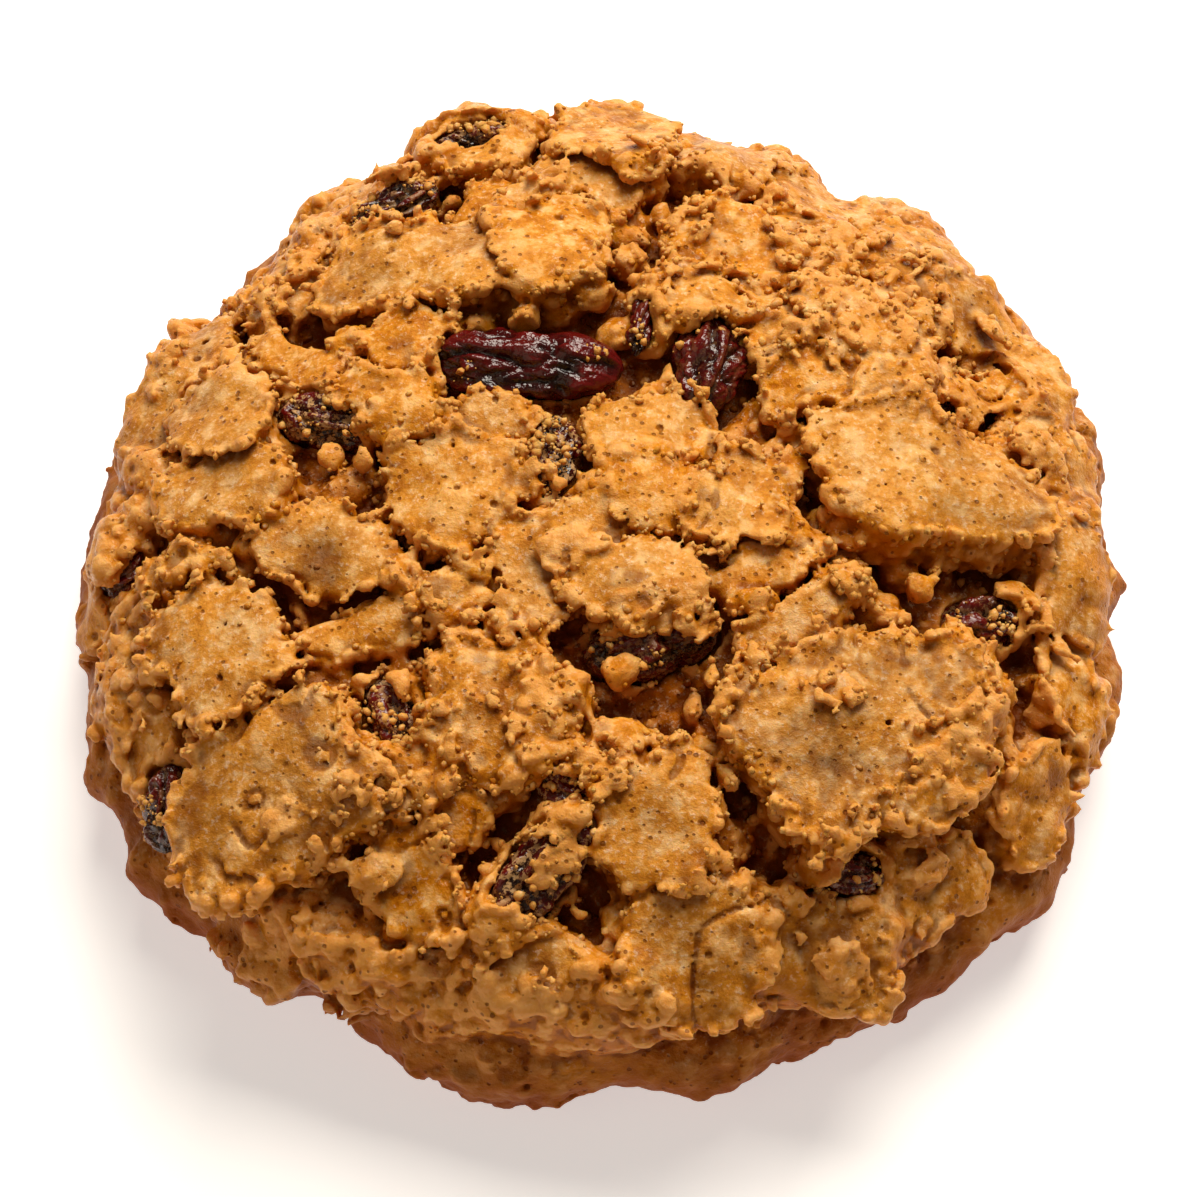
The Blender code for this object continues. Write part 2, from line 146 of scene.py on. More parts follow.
NEAR_PLATES = (
    (-20.5, -32.0, 7.4, 4.0, -18, -0.2, 0),
    (-11.5, -34.0, 5.6, 3.8, -15, -0.2, 0),
    (-6.4, -17.6, 5.2, 4.8, 0, 1.0, 6),
    (-12.0, -23.0, 2.8, 3.0, 0, 0.2, 0),
    (-11.6, -29.0, 3.4, 4.4, 0, 0.4, 0),
    (-4.0, -35.0, 5.8, 3.0, -10, 0.0, 0),
    (-9.0, -25.0, 2.6, 2.4, 50, 0.2, 0),
    (4.4, -25.8, 3.8, 6.2, -5, 0.8, 5),
    (24.4, -27.6, 4.4, 3.0, 15, 0.0, 0),
    (7.6, -34.0, 6.0, 4.6, 10, 0.8, 5),
    (16.2, -33.0, 5.4, 3.8, -15, 0.6, 5),
)
PLATES = FAR_PLATES + SHOULDER_PLATES + RIGHT_PLATES + MIDDLE_PLATES + LEFT_PLATES + NEAR_PLATES

# name, x, y, half length, half width, turn in degrees, depth of the middle, then how much of it
# dough still covers (0 to 1), the heading in degrees of the side that is covered, and its sugar
CRANBERRIES = (
    ("cranberry_centre_long", -4.8, 10.2, 7.3, 3.2, -4, 1.6, 0.00, 180, 0.0),
    ("cranberry_centre_round", 8.7, 10.1, 4.1, 2.9, 80, 1.4, 0.26, -90, 0.1),
    ("cranberry_centre_slim", 3.9, 13.4, 3.1, 1.25, 80, 0.7, 0.12, 0, 0.1),
    ("cranberry_far_left", -9.2, 33.6, 3.9, 2.2, 15, 0.6, 0.10, 90, 0.5),
    ("cranberry_far_shoulder", -15.0, 26.0, 3.8, 2.2, 30, 0.7, 0.16, 60, 0.4),
    ("cranberry_left_sugared", -19.2, 6.0, 4.2, 2.2, -15, 1.6, 0.36, -20, 0.8),
    ("cranberry_middle_hidden", -2.6, 2.0, 3.6, 2.0, 85, 1.2, 0.34, 180, 1.0),
    ("cranberry_middle_low", 4.5, -12.0, 5.0, 2.9, 18, 2.4, 0.36, 90, 0.3),
    ("cranberry_near_small", -1.2, -22.6, 2.6, 2.3, 0, 1.6, 0.16, 90, 0.8),
    ("cranberry_near_long", -3.8, -29.2, 5.6, 2.6, 50, 1.0, 0.42, 200, 0.7),
    ("cranberry_left_crack", -14.0, -17.8, 3.2, 2.2, 110, 2.6, 0.12, 90, 0.6),
    ("cranberry_right_crack", 29.2, -8.8, 3.3, 2.3, 10, 2.4, 0.22, -90, 0.2),
    ("cranberry_near_right", 18.2, -28.2, 3.1, 1.9, 0, 1.4, 0.36, 90, 0.3),
    ("cranberry_left_edge", -30.4, -21.8, 3.3, 2.2, 60, 0.9, 0.20, 180, 0.2),
    ("cranberry_left_rim", -35.0, -2.0, 3.0, 2.0, 80, 0.8, 0.45, 90, 0.2),
    ("cranberry_right_shoulder", 25.4, 7.4, 2.5, 1.8, 20, 1.6, 0.06, 90, 0.1),
)

# What the field knows at each point of the surface, kept for the crust's colours
MARKS = ("depth", "broad", "fine", "oat", "torn", "golden", "edge")

# Grid and relief of the crust
GRID_STEP = 0.24
GRID_RANGE = ((-42.6, 42.6), (-43.2, 43.2), (-0.9, 25.8))
FAR = 9.0                       # a distance longer than any that matters
BAND = 1.4                      # the crust's relief is worked out this near to the surface
JOINT_SOFTNESS = 0.3            # fillet where two lumps of dough meet
WALL_SOFTNESS = 1.6             # the wall's lumps run into each other
STAGGER = 0.9                   # range of the chance lift that each plate gets besides its own
STAGGER_LOW = 0.3               # share of that range which lies below the plate's own lift
CRACK_WIDTH = (0.75, 0.8)       # mean and spread of the crack round a plate
CRACK_FLOOR = 2.7               # depth that those cracks go down to
CRUST_EDGE_POWER = 5.0          # a broken crust's edge is sharper than the part's plain lumps
CRUST_OVERHANG = 0.13           # share of its width by which crust stands out over the crumb
CEILING = 23.8                  # the roughened crust stays about as high as the part
WALL_FILL = 0.8                 # crumb fills out the hollows between the wall's lumps by this much
WALL_SKIN = 0.5                 # how much of a plate's smooth skin the wall has
COVER_THICK = 0.45              # dough that still sticks to a cranberry
CLOTS = 520
CLOT_SIZE = (0.6, 1.5)
CLOT_LIFT = (-2.5, -0.4)
BEADS = 5000    # beads of crumb along broken edges and in torn dough
BEAD_RADIUS = (0.12, 0.38)
FOLD_WIDTH = 2.4                # wrinkles of a dried cranberry, somewhat over twice as long as wide
FOLD_SQUEEZE = 0.42             # their width over their length
FOLD_DEPTH = 1.4

# Relief of the crust, from broad to fine: size in mm, seed, height in mm on plain crust, then
# what pebbled crust, torn dough, a broken edge and the wall add to that height
SWELLS = (
    (5.5, 29, 0.50, 0.00, 0.00, 0.00, 0.00),
    (3.0, 30, 0.28, 0.00, 0.00, 0.00, 0.00),
    (1.5, 31, 0.08, 0.08, 0.12, 0.00, 0.14),
)
# The same for round bumps of crumb, with each bump's reach from its middle after the seed
CRUMB_BUMPS = (
    (1.8, 42, 1.00, 0.00, 0.00, 0.42, 0.24, 0.14),
    (1.3, 48, 0.85, 0.03, 0.00, 0.20, 0.36, 0.00),
    (0.8, 43, 0.58, 0.04, 0.08, 0.18, 0.12, 0.00),
)
FISSURE_LIP = 0.22              # half width of a fissure where it starts and where it is deepest
FISSURE_FLOOR = 0.06
FISSURE_DEPTH = 0.35
WALL_FISSURE_LOSS = 0.7         # share of that depth which fissures lose on the smooth wall
PORE_SPACING = 1.7
PORE_DEPTH = 0.5
PORES_LEFT_OUT = 0.78           # share of the pattern's places that hold no pore

# Colours of the bake, from sandy crust to crumb, with painted highlights and painted shade among them
SANDY_SHADE = "#B46E14"
SANDY = "#D4840E"
SANDY_PAINTED_HIGHLIGHT = "#F2B65C"
SYRUPY_SHADE = "#CE7C0C"
SYRUPY = "#EC9E22"
OAT = "#E2AC5C"
BROKEN_EDGE = "#EA9C28"
BROWNED_BLOTCH = "#9C4E00"
BROWNED_GRAIN = "#944600"
STEEP_SIDE_PAINTED_SHADE = "#A85400"
MOIST_CRUMB = "#7C3600"
CRUMB = "#C06C08"
TORN_DOUGH = "#BC6806"
FLOUR_BLOTCH_AND_HIGHLIGHT = "#F6CC8E"
SUGAR_GRAIN_AND_GLINT = "#FFE6C4"
BROAD_CREST = "#EC9C28"
PAINTED_HOLLOW_SHADE = "#431400"
PAINTED_RIDGE_HIGHLIGHT = "#F2B468"
PAINTED_PIT_SHADE = "#702A00"
BAKED_AND_SHADED_WALL = "#8A3C00"
PINHOLE_SHADE = "#6C3008"

# Colours of the fruit, with painted light on the ridges and painted shade in the creases
FRUIT_DARK = "#1A0203"
FRUIT_SKIN = "#4A080A"
FRUIT_RIDGE_PAINTED_LIGHT = "#741210"
FRUIT_CREASE_PAINTED_SHADE = "#0E0102"
SUGAR_FILM = "#CDA066"

# Sizes of the patterns in the materials
PATCH_SIZE = 6.0
BLOTCH_SIZE = 1.6
GRAIN_SIZE = 0.45               # coarser than real flour grain, so that it shows
PINHOLE_SPACING = 0.85
FRUIT_TONE_SIZE = 2.4
FILM_SIZE = 0.5

# Photograph
PHOTO_LENS = 100.0
PHOTO_SENSOR = 36.0
PHOTO_ELEVATION = 63.0
PHOTO_DISTANCE = 246.5
PHOTO_TARGET = (0.68, -3.2, 9.0)


def waves(angle, terms):
    """Sum of cosine waves round a turn."""
    return sum(share * np.cos(count * angle + phase) for count, share, phase in terms)


def rim_share(angle):
    """Radius of the rim over its nominal radius, in one direction."""
    terms = [(count, share, math.radians(phase)) for count, share, phase in RIM_WAVES]
    return RIM_SHARE + waves(angle, terms)


def dome_height(x, y):
    """Height of the crust's even surface over the tray."""
    reach = np.hypot(x / HALF_WIDTH, y / HALF_DEPTH) / rim_share(np.arctan2(y, x))
    fall, roundness = SHOULDER
    return RIM_HEIGHT + (HEIGHT - RIM_HEIGHT) * np.maximum(0.0, 1.0 - reach ** fall) ** roundness


def dome_normal(x, y, step=0.2):
    """Direction that the even surface faces."""
    slope_x = (dome_height(x + step, y) - dome_height(x - step, y)) / (2 * step)
    slope_y = (dome_height(x, y + step) - dome_height(x, y - step)) / (2 * step)
    return Vector((-slope_x, -slope_y, 1.0)).normalized()


def seat(x, y, turn, lift, lean=0.0):
    """Frame on the dome: X along the piece, Z out of the dough."""
    out = dome_normal(x, y)
    if lean:
        heading = math.radians(LEAN_HEADING)
        axis = Vector((-math.sin(heading), math.cos(heading), 0.0))
        out = Matrix.Rotation(-math.radians(lean), 3, axis) @ out
    along = Vector((math.cos(math.radians(turn)), math.sin(math.radians(turn)), 0.0))
    across = out.cross(along).normalized()
    along = across.cross(out)
    place = Matrix((along, across, out)).transposed().to_4x4()
    place.translation = Vector((x, y, dome_height(x, y))) + out * lift
    return place


def ragged_terms(rng):
    """Random waves of an outline, fainter as they get finer."""
    return [(count, RAGGED_SHARE * math.sqrt(2.0 / count), rng.uniform(0, math.tau))
            for count in range(2, 7)]


def smooth_step(low, high, value):
    """0 below low, 1 above high, with a soft rise between."""
    share = np.clip((value - low) / (high - low), 0.0, 1.0)
    return share * share * (3.0 - 2.0 * share)


def joined(first, second, softness):
    """Distance to two shapes joined with a small fillet."""
    share = np.clip(0.5 + 0.5 * (second - first) / softness, 0.0, 1.0)
    return second + (first - second) * share - softness * share * (1.0 - share)


class Dough:
    """Distances to the dough on a grid of points, built up lump by lump."""

    def __init__(self, step):
        self.step = step
        self.axes = [np.arange(low, high, step, dtype=np.float32) for low, high in GRID_RANGE]
        self.shape = tuple(len(axis) for axis in self.axes)
        self.distance = np.full(self.shape, FAR, np.float32)
        self.oats = np.full(self.shape, FAR, np.float32)
        self.crust = np.zeros(self.shape, np.float32)
        self.edge = np.zeros(self.shape, np.float32)
        self.golden = np.full(self.shape, 0.3, np.float32)
        self.gaps = self.noise(4.5, 899)
        self.warp = [self.noise(4.2, 900 + axis) * 0.75 for axis in range(3)]
        for axis in (0, 1):     # finer ragging goes sideways only, which leaves the tops smooth
            self.warp[axis] += self.noise(1.9, 910 + axis) * 0.35 + self.noise(1.0, 920 + axis) * 0.26

    def whole(self):
        """Window over the whole grid."""
        return tuple(slice(0, count) for count in self.shape)

    def window(self, centre, reach):
        """The part of the grid that lies within reach of a point."""
        parts = []
        for axis, middle in zip(self.axes, centre):
            first = int(np.searchsorted(axis, middle - reach))
            last = int(np.searchsorted(axis, middle + reach))
            parts.append(slice(max(first, 0), max(last, 1)))
        return tuple(parts)

    def noise(self, size, seed):
        """Smooth random field from -1 to 1 whose blobs are about size mm across."""
        rng = np.random.default_rng(seed)
        weights = []
        for axis in self.axes:
            place = (axis - axis[0]) / size + 1.0
            count = int(place[-1]) + 4
            gap = np.abs(place[:, None] - np.arange(count)[None, :])
            bump = np.where(gap < 1, 2 / 3 - gap ** 2 + gap ** 3 / 2, np.maximum(0, 2 - gap) ** 3 / 6)
            weights.append(bump.astype(np.float32))
        field = rng.uniform(-1, 1, [weight.shape[1] for weight in weights]).astype(np.float32)
        for weight in weights:
            field = np.tensordot(field, weight, axes=([0], [1]))
        return field * 2.2

    def local(self, window, place, warped=True):
        """Coordinates of a window's points in a piece's own frame."""
        inverse = place.inverted()
        x, y, z = (axis[part].reshape(shape) for axis, part, shape in
                   zip(self.axes, window, ((-1, 1, 1), (1, -1, 1), (1, 1, -1))))
        if warped:
            x, y, z = (axis + warp[window] for axis, warp in zip((x, y, z), self.warp))
        return [row[0] * x + row[1] * y + row[2] * z + row[3] for row in inverse][:3]

    def from_gauge(self, gauge):
        """Distance from a gauge that is 1 on the surface."""
        slopes = np.gradient(gauge, self.step)
        steep = np.sqrt(sum(slope * slope for slope in slopes))
        return (gauge - 1.0) / np.maximum(steep, 0.02)

    def add(self, window, distance, softness=JOINT_SOFTNESS):
        """Join a shape to the dough."""
        self.distance[window] = joined(self.distance[window], distance, softness)


def dome_gauge(x, y, z):
    """1 on the even surface of the cookie, less inside it."""
    reach = np.hypot(x / HALF_WIDTH, y / HALF_DEPTH) / rim_share(np.arctan2(y, x))
    fall, roundness = SHOULDER
    foot = 1.0 - (1.0 - FOOT_INSET / HALF_WIDTH) ** fall
    over = np.maximum(0.0, (z - RIM_HEIGHT) / (HEIGHT - RIM_HEIGHT)) ** (1.0 / roundness)
    under = foot * np.maximum(0.0, (RIM_HEIGHT - z) / RIM_HEIGHT) ** 1.5
    return reach ** fall + over + under


def add_core(dough):
    """Crumb under the plates. Keeps the depth below the even surface for later use."""
    x, y, z = dough.local(dough.whole(), Matrix.Identity(4), warped=False)
    dough.depth = -dough.from_gauge(dome_gauge(x, y, z))
    ripples = 0.55 * dough.noise(5.5, 20) + 0.35 * dough.noise(2.6, 21)
    top = smooth_step(RIM_HEIGHT - 3.0, RIM_HEIGHT + 5.0, z)
    floor = (HALF_WIDTH * (1.0 - CORE_SHARE) - WALL_FILL) * (1.0 - top) + (CRACK_DEPTH - 0.2) * top
    dough.distance = (floor - dough.depth - ripples).astype(np.float32)
    dough.crust[:] = WALL_SKIN * smooth_step(12.0, 7.0, z)


def add_plate(dough, index, row):
    """One lifted plate of crust, rooted in the core."""
    x, y, half_long, half_wide, turn, lift, lean = row
    ragged = ragged_terms(random.Random(SEED + index))
    lift += STAGGER * (random.Random(SEED + 700 + index).random() - STAGGER_LOW)
    place = seat(x, y, turn, lift, lean)
    middle = place @ Vector((0, 0, -PLATE_HALF_THICK))
    window = dough.window(middle, max(half_long, half_wide) * 1.25 + 2.0)
    u, v, w = dough.local(window, place)
    turns = np.linspace(-math.pi, math.pi, 129)
    even = ((np.abs(np.cos(turns)) / half_long) ** PLATE_POWER
            + (np.abs(np.sin(turns)) / half_wide) ** PLATE_POWER) ** (-1.0 / PLATE_POWER)
    outline = even * (1.0 + waves(turns, ragged))
    spread = np.hypot(u, v)
    reach = spread / np.interp(np.arctan2(v, u), turns, outline).astype(np.float32)
    reach *= 1.0 + CRUST_OVERHANG * smooth_step(-0.7, -2.6, w)
    height = np.abs(w + PLATE_HALF_THICK + spread ** 2 / (2 * PLATE_BOW)) / PLATE_HALF_THICK
    gauge = (reach ** CRUST_EDGE_POWER + height ** CRUST_EDGE_POWER) ** (1.0 / CRUST_EDGE_POWER)
    distance = dough.from_gauge(gauge)
    above = smooth_step(-2.6, -1.2, w)
    cut_crack(dough, window, distance)
    inside = smooth_step(0.9, 0.2, distance)
    rim = smooth_step(0.78, 0.94, reach) * smooth_step(1.25, 1.05, reach) * above
    marks = ((dough.crust, smooth_step(1.02, 0.84, reach) * above), (dough.edge, rim),
             (dough.golden, golden_share(index, half_long)))
    for field, value in marks:
        field[window] += (value - field[window]) * inside


def golden_share(index, half_long):
    """How golden a plate is: small ones are smooth syrupy lumps, large ones are sandy crust."""
    draw = random.Random(SEED + 900 + index).random()
    return 0.75 * float(smooth_step(6.0, 2.8, half_long)) * (0.4 + 0.6 * draw) + 0.35 * draw


def cut_crack(dough, window, distance):
    """Join a plate with a crack round it, as wide as chance has it, that ends at the crumb."""
    mean, spread = CRACK_WIDTH
    width = mean + spread * dough.gaps[window]
    opening = np.maximum(distance - width, dough.depth[window] - CRACK_FLOOR)
    dough.distance[window] = np.maximum(dough.distance[window], -opening)
    broken = smooth_step(0.6, 0.1, opening)
    dough.crust[window] *= 1.0 - broken
    near_top = smooth_step(1.6, 0.4, dough.depth[window])
    dough.edge[window] = np.maximum(dough.edge[window], 0.8 * broken * near_top)
    dough.add(window, distance, 0.12)


def add_ball(dough, place, halves, softness=JOINT_SOFTNESS, oat=False, skin=False):
    """One ellipsoid lump with the given half sizes, bare or with a smooth golden skin."""
    window = dough.window(place.translation, max(halves) + 2.0)
    u, v, w = dough.local(window, place, warped=not oat)
    gauge = np.sqrt((u / halves[0]) ** 2 + (v / halves[1]) ** 2 + (w / halves[2]) ** 2)
    distance = dough.from_gauge(gauge)
    dough.add(window, distance, softness)
    if oat:
        dough.oats[window] = np.minimum(dough.oats[window], distance)
    if skin:
        share = smooth_step(0.5, -0.1, distance)
        dough.golden[window] += (0.9 - dough.golden[window]) * share
        dough.crust[window] += (0.7 - dough.crust[window]) * share


def add_wall_lumps(dough):
    """Swollen lumps round the wall, in rings from the tray up to the shoulder."""
    rng = random.Random(SEED + 71)
    for count, levels, lengths, heights, insets in WALL_RINGS:
        for index in range(count):
            angle = math.tau * (index + rng.uniform(-0.3, 0.3)) / count
            level, half_long = rng.uniform(*levels), rng.uniform(*lengths)
            half_high, inset = rng.uniform(*heights), rng.uniform(*insets)
            ragged_terms(rng)   # only drawn, which keeps the lumps in step with the part's source
            share = rim_share(angle)
            place = Matrix.Rotation(angle + math.pi / 2, 4, "Z")
            place.translation = Vector(((HALF_WIDTH * share - inset) * math.cos(angle),
                                        (HALF_DEPTH * share - inset) * math.sin(angle), level))
            add_ball(dough, place, (half_long, WALL_LUMP_HALF_DEPTH, half_high), WALL_SOFTNESS)


def add_crumb_lumps(dough):
    """Small clumps of crumb down in the cracks, spread evenly by the sunflower rule."""
    rng = random.Random(SEED + 73)
    for index in range(CRUMB_LUMPS):
        reach = 0.9 * math.sqrt((index + 0.5) / CRUMB_LUMPS)
        angle = index * math.pi * (3.0 - math.sqrt(5.0))
        half = rng.uniform(*CRUMB_SIZE)
        place = seat(HALF_WIDTH * reach * math.cos(angle), HALF_DEPTH * reach * math.sin(angle),
                     rng.uniform(0, 180), -CRACK_DEPTH + rng.uniform(0.3, 1.4))
        stretch = rng.uniform(0.7, 1.3)
        add_ball(dough, place, (half * stretch, half / stretch, half * 0.8), skin=index % 2 == 0)


def add_clots(dough):
    """Smooth golden clots of dough, a few millimetres wide, pressed up in the cracks."""
    rng = random.Random(SEED + 74)
    low = Vector([axis[0] for axis in dough.axes])
    for _ in range(CLOTS):
        reach, angle = 0.93 * math.sqrt(rng.random()), rng.uniform(0, math.tau)
        half, stretch = rng.uniform(*CLOT_SIZE), rng.uniform(0.75, 1.3)
        place = seat(HALF_WIDTH * reach * math.cos(angle), HALF_DEPTH * reach * math.sin(angle),
                     rng.uniform(0, 180), rng.uniform(*CLOT_LIFT))
        i, j, k = (int(part) for part in (place.translation - low) / dough.step)
        if dough.distance[i, j, k] > -0.7:
            add_ball(dough, place, (half * stretch, half / stretch, half), skin=True)


def add_oat_flakes(dough):
    """The larger rolled oats, on plates drawn by a seeded rule, as in the part's source."""
    rng = random.Random(SEED + 72)
    chosen = rng.sample(PLATES, OAT_FLAKES)
    for index, (x, y, _half_long, half_wide, _turn, lift, _lean) in enumerate(chosen):
        size = 1.0 - 0.35 * index / OAT_FLAKES
        angle = rng.uniform(0, math.tau)
        spread = rng.uniform(0.2, 0.6)
        spot_x = x + half_wide * spread * math.cos(angle)
        spot_y = y + half_wide * spread * math.sin(angle)
        place = seat(spot_x, spot_y, rng.uniform(0, 180), lift + 0.1, rng.uniform(-14, 14))
        add_ball(dough, place, [size * half for half in FLAKE_SIZE], 0.9, oat=True)


def cells(points, size, seed):
    """Distance from each point to the nearest seed of a random cell pattern, and that cell's draw."""
    place = points / size
    home = np.floor(place).astype(np.int32)
    low = home.min(axis=0) - 1
    home -= low
    counts = home.max(axis=0) + 2
    rng = np.random.default_rng(seed)
    seeds = rng.random((*counts, 3), dtype=np.float32)
    draws = rng.random(counts, dtype=np.float32)
    inside = place - low - home
    nearest = np.full(len(points), FAR, np.float32)
    draw = np.zeros(len(points), np.float32)
    for step in np.ndindex(3, 3, 3):
        shift = np.array(step) - 1
        i, j, k = (home + shift).T
        gap = seeds[i, j, k] + shift.astype(np.float32) - inside
        far = np.sqrt((gap * gap).sum(axis=1))
        closer = far < nearest
        draw = np.where(closer, draws[i, j, k], draw)
        nearest = np.where(closer, far, nearest)
    return nearest * size, draw


def bumps(points, size, seed, reach, keep=0.0):
    """Round bumps of uneven height, one in each cell of a random pattern, some of them left out."""
    near, draw = cells(points, size, seed)
    height = np.maximum(0.0, 1.0 - (near / reach) ** 2)
    return height * (0.35 + draw) * (draw >= keep)


def relief_height(plain, more, places):
    """Height of one kind of relief: that of plain crust and what each sort of place adds."""
    for extra, share in zip(more, places):
        plain = plain + extra * share
    return plain


def roughen(dough):
    """Swells and pits on the crust, beaded broken edges, and rough crumb in the cracks."""
    band = np.nonzero(np.abs(dough.distance) < BAND)
    points = np.stack([axis[index] for axis, index in zip(dough.axes, band)], axis=1)
    height = points[:, 2].copy()
    points += 0.5 * np.stack([warp[band] for warp in dough.warp], axis=1)
    distance = dough.distance[band]
    torn = 1.0 - dough.crust[band] * smooth_step(2.8, 1.3, dough.depth[band])
    edge = dough.edge[band]
    dough.torn = np.ones(dough.shape, np.float32)
    dough.torn[band] = torn
    rim = np.hypot(points[:, 0] / HALF_WIDTH, (points[:, 1] + 5.0) / HALF_DEPTH)
    rough = (0.7 + 0.3 * smooth_step(4.0, 10.0, height)) * (0.6 + 0.4 * smooth_step(0.98, 0.84, rim))
    pebbled = smooth_step(-0.3, 0.5, dough.noise(7.0, 49)[band])
    wall = smooth_step(12.0, 7.0, height)
    torn = torn * rough
    edge = edge * rough
    places = (pebbled, torn, edge, wall)
    for size, seed, plain, *more in SWELLS:
        distance -= relief_height(plain, more, places) * dough.noise(size, seed)[band]
    for size, seed, reach, plain, *more in CRUMB_BUMPS:
        distance -= relief_height(plain, more, places) * bumps(points, size, seed, reach)

    # Winding fissures between swells of the crust, and pores where bubbles broke
    away = dough.from_gauge(1.0 + dough.noise(6.0, 45) + 0.4 * dough.noise(2.2, 47))[band]
    fissure = smooth_step(FISSURE_LIP, FISSURE_FLOOR, np.abs(away))
    fissure *= smooth_step(0.22, 0.5, dough.noise(3.2, 46)[band])
    distance += FISSURE_DEPTH * (1.0 - WALL_FISSURE_LOSS * wall) * fissure
    pores = bumps(points, PORE_SPACING, 44, 0.34, keep=PORES_LEFT_OUT)
    distance += PORE_DEPTH * np.minimum(1.0, 1.5 * pores)

    # What would stand above the ceiling is pressed down
    distance += 0.9 * smooth_step(CEILING - 1.2, CEILING + 0.6, height)
    dough.distance[band] = distance


def fruit_terms(name):
    """Folds of one cranberry, as in the part's source."""
    rng = random.Random(name + str(SEED))
    folds = [(count, rng.uniform(0.03, 0.07), rng.uniform(0, math.tau)) for count in (3, 4, 5)]
    waist = rng.uniform(0.06, 0.12)
    phase = rng.uniform(-0.4, 0.4)
    return folds, waist, phase


def fruit_girth(name, along, around):
    """Share that folds and waist leave of a cranberry's width."""
    folds, waist, phase = fruit_terms(name)
    return (1.0 + waves(around, folds)) * (1.0 - waist * np.exp(-((along - phase) / 0.25) ** 2))


def fruit_distance(dough, window, row):
    """Distance to one cranberry's smooth hull."""
    name, x, y, half_long, half_wide, turn, depth = row[:7]
    u, v, w = dough.local(window, seat(x, y, turn, -depth), warped=False)
    girth = fruit_girth(name, u / half_long, np.arctan2(w, v)) * half_wide
    gauge = np.sqrt((u / half_long) ** 2 + (v / girth) ** 2 + (w / (0.92 * girth)) ** 2)
    return dough.from_gauge(gauge)


def open_pockets(dough):
    """Clear each cranberry's pocket and the way out of it, and leave some dough on the fruit."""
    patches = 0.7 * dough.noise(3.0, 60) + 0.25 * dough.noise(1.1, 61)
    for row in CRANBERRIES:
        _name, x, y, half_long, half_wide, turn, depth, cover, side, _sugar = row
        place = seat(x, y, turn, -depth)
        window = dough.window(place.translation, half_long + 4.5)
        body = fruit_distance(dough, window, row)
        u, v, w = dough.local(window, place)
        way_out = np.maximum(np.hypot(u * half_wide / half_long, v) - half_wide * 0.84, -w)
        heading = math.radians(side - turn)
        toward = (u * math.cos(heading) / half_long + v * math.sin(heading) / half_wide)
        bare = 1.0 - 2.0 * cover - 0.55 * toward - 0.9 * patches[window]
        opening = np.minimum(body - 0.15, np.maximum(way_out, w - 6.0))
        opening = np.maximum(opening, -2.0 * bare)
        dough.distance[window] = np.maximum(dough.distance[window], -opening)
        dough.crust[window] *= smooth_step(0.3, 1.2, opening)
        left_on = np.maximum(body - COVER_THICK, 2.2 * bare)
        dough.add(window, np.maximum(left_on, -body - 0.5), 0.1)


def clear_fruit(dough):
    """Take away the dough that roughening grew into the fruit."""
    for row in CRANBERRIES:
        window = dough.window(seat(*row[1:3], row[5], -row[6]).translation, row[3] + 2.0)
        body = fruit_distance(dough, window, row)
        dough.distance[window] = np.maximum(dough.distance[window], -(body + 0.12))


def rounded_beads(centres, outs, sizes, seed):
    """Points and triangles of small uneven balls, each pushed a little along its outward way."""
    rng = np.random.default_rng(seed)
    ball = bmesh.new()
    bmesh.ops.create_icosphere(ball, subdivisions=1, radius=1.0)
    corners = np.array([vertex.co[:] for vertex in ball.verts])
    faces = np.array([[vertex.index for vertex in face.verts] for face in ball.faces])
    ball.free()
    count = len(centres)
    lumps = 1.0 + rng.uniform(-0.28, 0.28, (count, len(corners), 1))
    spin = rng.normal(size=(count, 3, 3))
    spin = np.linalg.qr(spin)[0]
    stretch = rng.uniform(0.7, 1.3, (count, 1, 3))
    points = np.einsum("nij,nkj->nki", spin, corners[None] * lumps * stretch) * sizes[:, None, None]
    points += (centres + outs * sizes[:, None] * 0.05)[:, None, :]
    triangles = faces[None] + (np.arange(count) * len(corners))[:, None, None]
    return points.reshape(-1, 3), triangles.reshape(-1, 3), len(corners)


def crumb_on_fruit():
    """Crumbs of dough stuck on the cranberries, a few loose and most in clusters."""
    centres, outs, sizes = [], [], []
    for number, row in enumerate(CRANBERRIES):
        _name, x, y, half_long, half_wide, turn, depth, _cover, _side, sugar = row
        place = seat(x, y, turn, -depth)
        rng = random.Random(SEED + 500 + number)
        for _ in range(3 + int(sugar * 22)):
            middle_u = rng.uniform(-0.85, 0.85)
            middle_v = rng.uniform(-0.85, 0.85)
            for _ in range(rng.choice((1, 2, 6, 12))):
                u = middle_u + rng.gauss(0, 0.45) / half_long
                v = middle_v + rng.gauss(0, 0.45) / half_wide
                if u * u + v * v > 0.9:
                    continue
                w = math.sqrt(1.0 - u * u - v * v)
                centres.append(place @ Vector((u * half_long, v * half_wide, 0.82 * w * half_wide)))
                outs.append(place.to_3x3() @ Vector((u, v, w)).normalized())
                sizes.append(0.07 + 0.34 * rng.random() ** 3)
    points, triangles, _corners = rounded_beads(np.array(centres), np.array(outs), np.array(sizes), 70)

    # These crumbs take most of an oat's pale colour, and the painted highlight of a fine ridge
    shown = {"fine": 0.12, "oat": 0.7, "torn": 0.1}
    marks = {mark: np.full(len(points), shown.get(mark, 0.0)) for mark in MARKS}
    return fill_mesh("crumb_on_fruit", points, triangles, marks)


